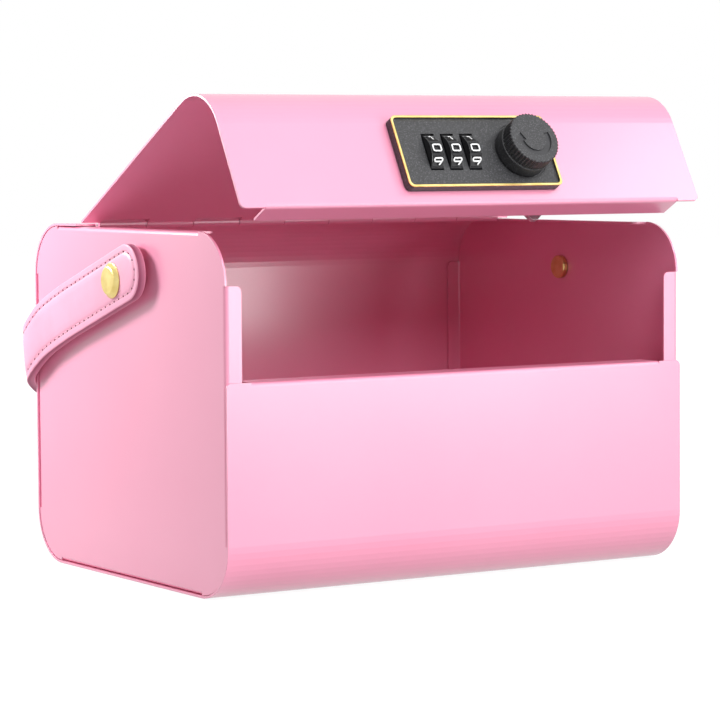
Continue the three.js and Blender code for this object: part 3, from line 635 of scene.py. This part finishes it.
class StrapPath:
    """The strap's middle line, and the frame that its section is drawn in along it."""

    def __init__(self, settings):
        self.tilt = settings.tilt
        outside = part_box("handle_strap")[1].x
        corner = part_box("body_shell")[1]
        self.middle = outside - settings.thickness / 2
        self.pivot = JOINTS["handle_swing"]["pos_m"][2]
        lean = settings.width / 2 * math.sin(settings.tilt)
        bend_x = self.middle - settings.draw_in - settings.bend
        reach = settings.bend - settings.thickness / 2 - settings.clearance
        self.bend_y = corner.y - math.sqrt(reach ** 2 - (corner.x - bend_x) ** 2) + lean
        left = self.side_points(settings, bend_x)
        centre = Vector((0, left[-1].y, left[-1].z))
        right = [Vector((-point.x, point.y, point.z)) for point in reversed(left)]
        self.tabulate([*left, centre, *right])

    def side_points(self, settings, bend_x):
        down = math.tan(settings.slope)
        back_z = self.pivot - settings.fall
        back_y = self.bend_y + settings.bend

        def straight(distance):
            return Vector((
                -self.middle,
                distance * math.cos(settings.slope),
                self.pivot - distance * math.sin(settings.slope),
            ))

        def drooping(share, droop):
            y = self.bend_y * share
            return Vector((settings.draw_in * share - self.middle, y, self.pivot - y * down - droop))

        bend = []
        for share in (0, 0.3, 0.65, 1):
            angle = share * math.pi / 2
            fall = MM + (settings.bend_fall - MM) * (1 - share)
            bend.append(Vector((
                -(bend_x + settings.bend * math.cos(angle)),
                self.bend_y + settings.bend * math.sin(angle),
                back_z + fall,
            )))
        return [
            straight(-settings.tip),
            straight(0),
            drooping(0.35, 0),
            drooping(0.6, 0.2 * MM),
            drooping(0.85, 2 * MM),
            *bend,
            Vector((-bend_x * 0.75, back_y, back_z + 0.3 * MM)),
            Vector((-bend_x * 0.4, back_y, back_z)),
        ]

    def tabulate(self, points, steps=60):
        """Centripetal curve through the points, as a table of places by distance."""
        ends = [points[0] * 2 - points[1], *points, points[-1] * 2 - points[-2]]
        places = []
        for before, start, end, after in zip(ends, ends[1:], ends[2:], ends[3:]):
            knots = [max((b - a).length, 1e-9) ** 0.5 for a, b in
                     ((before, start), (start, end), (end, after))]
            first = (start - before) / knots[0] - (end - before) / (knots[0] + knots[1])
            first = (first + (end - start) / knots[1]) * knots[1]
            last = (end - start) / knots[1] - (after - start) / (knots[1] + knots[2])
            last = (last + (after - end) / knots[2]) * knots[1]
            for step in range(steps):
                t = step / steps
                places.append(
                    start * (2 * t ** 3 - 3 * t ** 2 + 1) + end * (3 * t ** 2 - 2 * t ** 3)
                    + first * (t ** 3 - 2 * t ** 2 + t) + last * (t ** 3 - t ** 2)
                )
        places.append(points[-1])
        table = np.array(places)
        gaps = np.linalg.norm(np.diff(table, axis=0), axis=1)
        self.at = np.concatenate([[0], np.cumsum(gaps)])
        self.length = self.at[-1]
        self.centres = table
        along = np.gradient(table, self.at, axis=0)
        self.along = along / np.linalg.norm(along, axis=1)[:, None]
        leaning = np.array([0, math.sin(self.tilt), math.cos(self.tilt)])
        square = leaning - self.along * (self.along @ leaning)[:, None]
        square /= np.linalg.norm(square, axis=1)[:, None]
        share = np.clip((table[:, 1] - self.bend_y / 2) / (self.bend_y / 2), 0, 1)
        share = (share ** 2 * (3 - 2 * share))[:, None]
        wide = square * (1 - share) + leaning * share
        self.wide = wide / np.linalg.norm(wide, axis=1)[:, None]
        out = np.cross(self.along, self.wide)
        self.out = out / np.linalg.norm(out, axis=1)[:, None]

    def stations(self, turn=math.radians(4), step=6 * MM):
        """Distances along the strap at which its flat form is cut, closer in the bends."""
        last, cuts = 0, []
        for index, distance in enumerate(self.at):
            turned = math.acos(min(1, float(self.along[index] @ self.along[last])))
            if turned > turn or distance - self.at[last] > step:
                cuts.append(distance)
                last = index
        return cuts

    def bend_on(self, obj):
        """Moves a mesh drawn flat, with its length along X and width along Y, on to the path."""
        flat = np.empty(len(obj.data.vertices) * 3)
        obj.data.vertices.foreach_get("co", flat)
        flat = flat.reshape(-1, 3)
        distance = flat[:, 0] + self.length / 2

        def blend(table):
            return np.stack([np.interp(distance, self.at, table[:, axis]) for axis in range(3)], axis=1)

        beyond = distance - np.clip(distance, 0, self.length)
        placed = blend(self.centres) + blend(self.along) * beyond[:, None]
        placed = placed + blend(self.wide) * flat[:, 1:2] + blend(self.out) * flat[:, 2:3]
        obj.data.vertices.foreach_set("co", placed.ravel())
        obj.data.update()


def flat_strap(settings, path):
    """The strap lying flat: round tips, eased edges and a sewn groove near the edge."""
    fresh()
    bpy.ops.mesh.primitive_cube_add(size=1)
    strap = bpy.context.object
    strap.name = "leather_strap"
    edit()
    bpy.ops.mesh.select_all(action="SELECT")
    bpy.ops.transform.resize(value=(path.length, settings.width, settings.thickness))
    leave_edit()
    choose(strap, "edges", is_upright)
    bpy.ops.mesh.bevel(offset=settings.width / 2 * TIP_SHARE, segments=TIP_STEPS, affect="EDGES")
    leave_edit()
    choose(strap, "edges", is_level)
    bpy.ops.mesh.bevel(offset=settings.edge, segments=EDGE_STEPS, affect="EDGES")
    rim = settings.stitch_inset - settings.edge - GROOVE_WIDTH
    for side in (1, -1):
        leave_edit()
        face = side * settings.thickness / 2
        choose(strap, "polygons", lambda corners: all(abs(corner.z - face) < LEVEL for corner in corners))
        bpy.ops.mesh.inset(thickness=rim)
        bpy.ops.mesh.inset(thickness=GROOVE_WIDTH, depth=-GROOVE_DEPTH)
        bpy.ops.mesh.inset(thickness=GROOVE_WIDTH, depth=GROOVE_DEPTH)
        for width, rise in CROWN_STEPS:
            bpy.ops.mesh.inset(thickness=width, depth=rise)
    for distance in path.stations():
        bpy.ops.mesh.select_all(action="SELECT")
        bpy.ops.mesh.bisect(plane_co=(distance - path.length / 2, 0, 0), plane_no=(1, 0, 0))
    leave_edit()
    return strap


def mark_layers(strap, thickness):
    """Notes on each point how far through the strap it lies, from 0 at the back to 1 at the face."""
    layer = strap.data.attributes.new(LAYER, "FLOAT", "POINT")
    for index, vertex in enumerate(strap.data.vertices):
        layer.data[index].value = min(1, max(0, vertex.co.z / thickness + 0.5))


def stitch_places(settings, path, level, share):
    """Matrices round the strap's outline, one for each stitch, at a height over the middle."""
    half = settings.width / 2
    reach = half - settings.stitch_inset
    run = path.length - 2 * half
    total = 2 * run + 2 * math.pi * reach
    count = round(total / settings.stitch_pitch)
    places = []
    for index in range(count):
        distance = (index + share) * total / count
        if distance < run:
            x, y, turn = distance - run / 2, -reach, 0
        elif distance < run + math.pi * reach:
            turn = (distance - run) / reach
            x, y = run / 2 + reach * math.sin(turn), -reach * math.cos(turn)
        elif distance < 2 * run + math.pi * reach:
            x, y, turn = run / 2 - (distance - run - math.pi * reach), reach, math.pi
        else:
            turn = math.pi + (distance - 2 * run - math.pi * reach) / reach
            x, y = -run / 2 + reach * math.sin(turn), -reach * math.cos(turn)
        places.append(Matrix.Translation((x, y, level)) @ Matrix.Rotation(turn, 4, "Z"))
    return places


def small_ball(size, segments, rings):
    fresh()
    bpy.ops.mesh.primitive_uv_sphere_add(segments=segments, ring_count=rings, radius=1)
    ball = bpy.context.object
    edit()
    bpy.ops.mesh.select_all(action="SELECT")
    bpy.ops.transform.resize(value=size)
    leave_edit()
    return ball


def shade(obj, angle):
    """Smooth shading, apart from edges that turn by more than the angle in degrees."""
    only(obj)
    bpy.ops.object.shade_smooth_by_angle(angle=math.radians(angle))


class LOCKBOX_OT_strap(bpy.types.Operator):
    """Makes the leather strap over its CAD solid"""

    bl_idname = "lockbox.strap"
    bl_label = "Make Strap"

    def execute(self, context):
        settings = context.scene.lockbox_strap
        path = StrapPath(settings)
        strap = flat_strap(settings, path)
        mark_layers(strap, settings.thickness)
        path.bend_on(strap)
        for side in (-1, 1):
            fresh()
            bpy.ops.mesh.primitive_cylinder_add(
                vertices=32, radius=BOLT_HOLE, depth=4 * settings.thickness,
                location=(side * path.middle, 0, path.pivot), rotation=(0, math.pi / 2, 0),
            )
            subtract(strap, bpy.context.object)
        shade(strap, angle=32)
        dress(strap, strap_leather(settings))
        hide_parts("handle_strap")
        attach(strap, "handle")
        return {"FINISHED"}


class LOCKBOX_OT_stitches(bpy.types.Operator):
    """Sews the strap with thread on both faces"""

    bl_idname = "lockbox.stitches"
    bl_label = "Sew Strap"

    def execute(self, context):
        settings = context.scene.lockbox_strap
        path = StrapPath(settings)
        surface = settings.thickness / 2
        half = settings.stitch_pitch / 2 - STITCH_GAP
        ball = small_ball((half, *STITCH_THICKNESS), 10, 6)
        places = [place for side in (1, -1)
                  for place in stitch_places(settings, path, side * (surface - STITCH_SUNK), 0.5)]
        stitches = placed_copies(ball, places, "strap_stitches")
        remove(ball)
        # Dark balls sunk in the stitch holes, as painted shade.
        ball = small_ball(PRICK_SIZE, 8, 6)
        places = [place for side in (1, -1)
                  for place in stitch_places(settings, path, side * (surface - PRICK_SUNK), 0)]
        holes = placed_copies(ball, places, "strap_stitch_holes")
        remove(ball)
        for obj, finish in ((stitches, thread("strap_thread", settings.thread, 0.5)),
                            (holes, thread("stitch_hole", PRICK_SHADE_COLOUR, 0.8))):
            path.bend_on(obj)
            shade(obj, angle=60)
            dress(obj, finish)
            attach(obj, "handle")
        return {"FINISHED"}


# Shell and metal


class LOCKBOX_OT_shell(bpy.types.Operator):
    """Paints the box, the lid, the side panels and the hinge"""

    bl_idname = "lockbox.shell"
    bl_label = "Paint Shell"

    def execute(self, context):
        dress_slot("painted_shell", shell_paint(context.scene.lockbox_shell))
        return {"FINISHED"}


class LOCKBOX_OT_metal(bpy.types.Operator):
    """Finishes the brass, the steel and the washers"""

    bl_idname = "lockbox.metal"
    bl_label = "Finish Metal"

    def execute(self, context):
        dress_slot("brass", polished_brass())
        dress_slot("steel", plated_steel())
        dress_slot("nylon", washer_nylon())
        return {"FINISHED"}


# Lock

FIGURE_BEND, FIGURE_THICKNESS = 0.9 * MM, 0.1 * MM
ARROW_START, ARROW_END, ARROW_STEPS = math.radians(20), math.radians(-170), 28
# Half the head's width and the head's length, in widths of the arrow
HEAD_FLARE, HEAD_LENGTH = 1.1, 1.7


def lock_axes():
    """The lock's right, up and outward directions as the lid stands."""
    out = Vector(JOINTS["knob_turn"]["axis"]).normalized()
    right = Vector((1, 0, 0))
    return right, out.cross(right), out


def basis(origin, right, up, out):
    matrix = Matrix((right, up, out)).transposed().to_4x4()
    matrix.translation = origin
    return matrix


def reach_of(node, origin, direction):
    """How far a CAD node reaches from a point in a direction."""
    return max((vertex.co - origin).dot(direction) for vertex in frame["nodes"][node].data.vertices)


def rounded(points, radius, closed, steps=5):
    """A path whose inner corners are rounded."""
    path = []
    count = len(points)
    for index, point in enumerate(points):
        if not closed and index in (0, count - 1):
            path.append(point)
            continue
        before = points[index - 1] - point
        after = points[(index + 1) % count] - point
        cut = min(radius, before.length / 2, after.length / 2)
        start = point + before.normalized() * cut
        end = point + after.normalized() * cut
        for step in range(steps + 1):
            t = step / steps
            path.append(start * (1 - t) ** 2 + point * 2 * t * (1 - t) + end * t ** 2)
    return path


# Each figure is drawn with strokes on a grid from -1 to 1. A closed stroke ends with True.
FIGURE_STROKES = (
    [([(-1, -1), (1, -1), (1, 1), (-1, 1)], True)],
    [([(-0.45, 0.55), (0.1, 1), (0.1, -1)], False)],
    [([(-1, 0.75), (-1, 1), (1, 1), (1, 0.1), (-1, -1), (1, -1)], False)],
    [([(-1, 1), (1, 1), (0.1, 0.15), (1, 0.1), (1, -1), (-1, -1)], False)],
    [([(0.45, -1), (0.45, 1), (-1, -0.4), (1, -0.4)], False)],
    [([(1, 1), (-1, 1), (-1, 0.1), (1, 0.1), (1, -1), (-1, -1)], False)],
    [([(-1, 0), (1, 0), (1, -1), (-1, -1)], True), ([(-0.95, -0.2), (-0.2, 1)], False)],
    [([(-1, 1), (1, 1), (-0.1, -1)], False)],
    [([(-1, -1), (1, -1), (1, 1), (-1, 1)], True), ([(-1, 0), (1, 0)], False)],
    [([(-1, 0), (1, 0), (1, 1), (-1, 1)], True), ([(0.95, 0.2), (0.2, -1)], False)],
)


def figure_mesh(figure, settings):
    """One figure as a thin painted form in the XY plane, facing +Z."""
    half_width = (settings.figure_width - settings.figure_stroke) / 2
    half_height = (settings.figure_height - settings.figure_stroke) / 2
    curve = bpy.data.curves.new("figure", "CURVE")
    curve.dimensions = "3D"
    curve.bevel_depth = settings.figure_stroke / 2
    curve.bevel_resolution = 1
    curve.use_fill_caps = True
    for strokes, closed in FIGURE_STROKES[figure]:
        points = [Vector((x * half_width, y * half_height, 0)) for x, y in strokes]
        path = rounded(points, FIGURE_BEND, closed)
        spline = curve.splines.new("POLY")
        spline.points.add(len(path) - 1)
        for target, point in zip(spline.points, path):
            target.co = (*point, 1)
        spline.use_cyclic_u = closed
    fresh()
    obj = bpy.data.objects.new("figure", curve)
    bpy.context.scene.collection.objects.link(obj)
    only(obj)
    bpy.ops.object.convert(target="MESH")
    obj = bpy.context.object
    edit()
    bpy.ops.mesh.select_all(action="SELECT")
    bpy.ops.transform.resize(value=(1, 1, FIGURE_THICKNESS / settings.figure_stroke))
    leave_edit()
    return obj


class LOCKBOX_OT_dials(bpy.types.Operator):
    """Prints the figures round the three dials"""

    bl_idname = "lockbox.dials"
    bl_label = "Print Dials"

    def execute(self, context):
        settings = context.scene.lockbox_lock
        dress_slot("dial_black", dial_black())
        right, up, out = lock_axes()
        white = figure_white()
        figures = [figure_mesh(figure, settings) for figure in range(FIGURES)]
        for dial in range(1, DIAL_COUNT + 1):
            centre = Vector(JOINTS[f"dial_{dial}_spin"]["pos_m"])
            flat = reach_of(f"dial_wheel_{dial}", centre, out)
            parts = []
            for figure, pattern in enumerate(figures):
                angle = figure * 2 * math.pi / FIGURES
                outward = out * math.cos(angle) + up * math.sin(angle)
                upward = up * math.cos(angle) - out * math.sin(angle)
                spot = centre + right * settings.figure_shift + outward * flat
                parts.append(placed_copies(pattern, [basis(spot, right, upward, outward)], "part"))
            fresh()
            for part in parts:
                part.select_set(True)
            bpy.context.view_layer.objects.active = parts[0]
            bpy.ops.object.join()
            obj = bpy.context.object
            obj.name = f"dial_figures_{dial}"
            shade(obj, angle=50)
            dress(obj, white)
            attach(obj, f"dial_{dial}")
        for pattern in figures:
            remove(pattern)
        return {"FINISHED"}


def arrow_outline(settings):
    """A curved arrow: part of a ring with a pointed head."""
    inner = settings.arrow_radius - settings.arrow_width / 2
    outer = settings.arrow_radius + settings.arrow_width / 2
    sweep = ARROW_END - ARROW_START
    turns = [ARROW_START + sweep * step / ARROW_STEPS for step in range(ARROW_STEPS + 1)]
    outside = [Vector((outer * math.cos(turn), outer * math.sin(turn), 0)) for turn in turns]
    inside = [Vector((inner * math.cos(turn), inner * math.sin(turn), 0)) for turn in reversed(turns)]
    middle = settings.arrow_radius
    flare = settings.arrow_width * HEAD_FLARE
    point = ARROW_END - settings.arrow_width * HEAD_LENGTH / middle
    across, upward = math.cos(ARROW_END), math.sin(ARROW_END)
    head = [
        Vector(((middle + flare) * across, (middle + flare) * upward, 0)),
        Vector((middle * math.cos(point), middle * math.sin(point), 0)),
        Vector(((middle - flare) * across, (middle - flare) * upward, 0)),
    ]
    return [*outside, *head, *inside]


def arrow_cutter(settings, place):
    curve = bpy.data.curves.new("arrow", "CURVE")
    curve.dimensions = "2D"
    curve.fill_mode = "BOTH"
    curve.extrude = settings.arrow_depth
    outline = arrow_outline(settings)
    spline = curve.splines.new("POLY")
    spline.points.add(len(outline) - 1)
    for target, point in zip(spline.points, outline):
        target.co = (*point, 1)
    spline.use_cyclic_u = True
    obj = bpy.data.objects.new("arrow", curve)
    bpy.context.scene.collection.objects.link(obj)
    only(obj)
    bpy.ops.object.convert(target="MESH")
    obj = bpy.context.object
    edit()
    bpy.ops.mesh.select_all(action="SELECT")
    bpy.ops.mesh.remove_doubles(threshold=0.001 * MM)
    bpy.ops.mesh.normals_make_consistent(inside=False)
    leave_edit()
    obj.matrix_world = place
    apply_place(obj)
    return obj


class LOCKBOX_OT_knob(bpy.types.Operator):
    """Carves a plain curved arrow in the knob's face"""

    bl_idname = "lockbox.knob"
    bl_label = "Carve Knob"

    def execute(self, context):
        settings = context.scene.lockbox_lock
        black = grained_black(settings)
        dress_slot("lock_black", black)
        right, up, out = lock_axes()
        origin = Vector(JOINTS["knob_turn"]["pos_m"])
        face = origin + out * reach_of("lock_knob", origin, out)
        knob = merged_copy("lock_knob", "carved_knob")
        subtract(knob, arrow_cutter(settings, basis(face, right, up, out)))
        shade(knob, angle=28)
        dress(knob, black)
        knob.data.materials.append(recess_black())
        floor = (face - origin).dot(out) - settings.arrow_depth
        for polygon in knob.data.polygons:
            level = (polygon.center - origin).dot(out)
            polygon.material_index = int(abs(level - floor) < 0.1 * MM and polygon.normal.dot(out) > 0.9)
        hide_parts("lock_knob")
        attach(knob, "knob")
        return {"FINISHED"}


# Stage

FLOOR_SIZE, FLOOR_DROP = 8, 0.4 * MM
BOX_MIDDLE, LID_RIGHT, LEFT_SIDE = (0, 0, 0.1), (0.09, -0.1, 0.16), (-0.125, 0, 0.134)
# Name, point lit, azimuth and elevation in degrees, distance and side in metres, setting of the power
LAMPS = (
    ("front_lamp", BOX_MIDDLE, 0, 35, 1.3, 0.8, "front_power"),
    ("low_lamp", BOX_MIDDLE, 27, 3, 1.3, 0.5, "low_power"),
    ("top_lamp", BOX_MIDDLE, 0, 82, 1.2, 0.9, "top_power"),
    ("upper_lamp", LID_RIGHT, 55, 39, 1.1, 0.2, "upper_power"),
    ("rear_lamp", LEFT_SIDE, -138, 25, 0.35, 0.09, "rear_power"),
)


def white_for_camera(tree, lit, white):
    """Mixes a lit look with a plain white one that the camera and reflections see."""
    rays = tree.nodes.new("ShaderNodeLightPath")
    seen = tree.nodes.new("ShaderNodeMath")
    seen.operation = "MAXIMUM"
    tree.links.new(rays.outputs["Is Camera Ray"], seen.inputs[0])
    tree.links.new(rays.outputs["Is Glossy Ray"], seen.inputs[1])
    either = tree.nodes.new("ShaderNodeMath")
    either.operation = "MAXIMUM"
    tree.links.new(seen.outputs[0], either.inputs[0])
    tree.links.new(rays.outputs["Is Transmission Ray"], either.inputs[1])
    mix = tree.nodes.new("ShaderNodeMixShader")
    tree.links.new(either.outputs[0], mix.inputs[0])
    tree.links.new(lit, mix.inputs[1])
    tree.links.new(white, mix.inputs[2])
    return mix.outputs[0]


def set_world(settings):
    world = bpy.data.worlds.new("studio")
    bpy.context.scene.world = world
    world.use_nodes = True
    tree = world.node_tree
    tree.nodes.clear()
    ambient = add_node(tree, "ShaderNodeBackground", Color=(1, 1, 1, 1), Strength=settings.ambient)
    white = add_node(tree, "ShaderNodeBackground", Color=(1, 1, 1, 1), Strength=1.0)
    output = tree.nodes.new("ShaderNodeOutputWorld")
    surface = white_for_camera(tree, ambient.outputs[0], white.outputs[0])
    tree.links.new(surface, output.inputs["Surface"])


def set_floor():
    fresh()
    bpy.ops.mesh.primitive_plane_add(size=FLOOR_SIZE, location=(0, 0, -FLOOR_DROP))
    floor = bpy.context.object
    floor.name = "floor"
    apply_place(floor)
    material = bpy.data.materials.new("floor_white")
    material.use_nodes = True
    tree = material.node_tree
    tree.nodes.clear()
    matte = add_node(tree, "ShaderNodeBsdfDiffuse", Color=(0.5, 0.5, 0.5, 1))
    chalk = add_node(tree, "ShaderNodeBsdfDiffuse", Color=(0.95, 0.95, 0.95, 1))
    glow = add_node(tree, "ShaderNodeEmission", Color=(1, 1, 1, 1), Strength=1.12)
    mix = tree.nodes.new("ShaderNodeMixShader")
    place = tree.nodes.new("ShaderNodeTexCoord")
    length = tree.nodes.new("ShaderNodeVectorMath")
    length.operation = "LENGTH"
    tree.links.new(place.outputs["Object"], length.inputs[0])
    fade = add_node(tree, "ShaderNodeMapRange", From_Min=0.25, From_Max=0.6, To_Min=0.84, To_Max=1.0)
    tree.links.new(length.outputs["Value"], fade.inputs["Value"])
    tree.links.new(fade.outputs["Result"], mix.inputs[0])
    tree.links.new(chalk.outputs[0], mix.inputs[1])
    tree.links.new(glow.outputs[0], mix.inputs[2])
    output = tree.nodes.new("ShaderNodeOutputMaterial")
    surface = white_for_camera(tree, matte.outputs[0], mix.outputs[0])
    tree.links.new(surface, output.inputs["Surface"])
    floor.data.materials.append(material)


def direction(azimuth, elevation):
    """Unit vector towards a place round the box. Azimuth 0 is in front, and it grows to the right."""
    return Vector((
        math.sin(azimuth) * math.cos(elevation),
        -math.cos(azimuth) * math.cos(elevation),
        math.sin(elevation),
    ))


def set_lamp(name, target, azimuth, elevation, distance, size, power):
    fresh()
    bpy.ops.object.light_add(type="AREA")
    lamp = bpy.context.object
    lamp.name = name
    towards = direction(math.radians(azimuth), math.radians(elevation))
    lamp.location = Vector(target) + towards * distance
    lamp.rotation_euler = towards.to_track_quat("Z", "Y").to_euler()
    lamp.data.size = size
    lamp.data.energy = power


def set_camera(settings):
    data = bpy.data.cameras.new("camera")
    camera = bpy.data.objects.new("camera", data)
    bpy.context.scene.collection.objects.link(camera)
    back = direction(settings.azimuth, settings.elevation)
    right = Vector((0, 0, 1)).cross(back).normalized()
    up = back.cross(right)
    cos, sin = math.cos(settings.roll), math.sin(settings.roll)
    place = basis(
        Vector(settings.target) + back * settings.distance,
        right * cos + up * sin, up * cos - right * sin, back,
    )
    camera.matrix_world = place
    data.sensor_width = 36
    data.lens = settings.focal_length
    data.shift_x, data.shift_y = settings.shift
    data.clip_start, data.clip_end = 0.05, 50
    bpy.context.scene.camera = camera


class LOCKBOX_OT_stage(bpy.types.Operator):
    """Sets the floor, the light and the camera"""

    bl_idname = "lockbox.stage"
    bl_label = "Set Stage"

    def execute(self, context):
        settings = context.scene.lockbox_stage
        context.scene.view_settings.view_transform = "Standard"
        set_world(settings)
        set_floor()
        for name, target, azimuth, elevation, distance, size, power in LAMPS:
            set_lamp(name, target, azimuth, elevation, distance, size, getattr(settings, power))
        set_camera(settings)
        return {"FINISHED"}


class LOCKBOX_PT_panel(bpy.types.Panel):
    """Lists the steps that dress the lock box"""

    bl_idname = "LOCKBOX_PT_panel"
    bl_label = "Lock Box"
    bl_space_type = "VIEW_3D"
    bl_region_type = "UI"
    bl_category = "Lock Box"

    def draw(self, context):
        for operator in OPERATORS:
            self.layout.operator(operator.bl_idname)


SETTINGS = {
    "lockbox_shell": ShellSettings,
    "lockbox_strap": StrapSettings,
    "lockbox_lock": LockSettings,
    "lockbox_stage": StageSettings,
}
OPERATORS = (
    LOCKBOX_OT_stage,
    LOCKBOX_OT_shell,
    LOCKBOX_OT_metal,
    LOCKBOX_OT_strap,
    LOCKBOX_OT_stitches,
    LOCKBOX_OT_dials,
    LOCKBOX_OT_knob,
)


def register():
    for cls in (*SETTINGS.values(), *OPERATORS, LOCKBOX_PT_panel):
        bpy.utils.register_class(cls)
    for name, cls in SETTINGS.items():
        setattr(bpy.types.Scene, name, bpy.props.PointerProperty(type=cls))


def unregister():
    for name in SETTINGS:
        delattr(bpy.types.Scene, name)
    for cls in (LOCKBOX_PT_panel, *reversed(OPERATORS), *reversed(SETTINGS.values())):
        bpy.utils.unregister_class(cls)


def main():
    register()
    bpy.ops.lockbox.stage()
    bpy.ops.lockbox.shell()
    bpy.ops.lockbox.metal()
    bpy.ops.lockbox.strap()
    bpy.ops.lockbox.stitches()
    bpy.ops.lockbox.dials()
    bpy.ops.lockbox.knob()


if __name__ == "__main__":
    main()
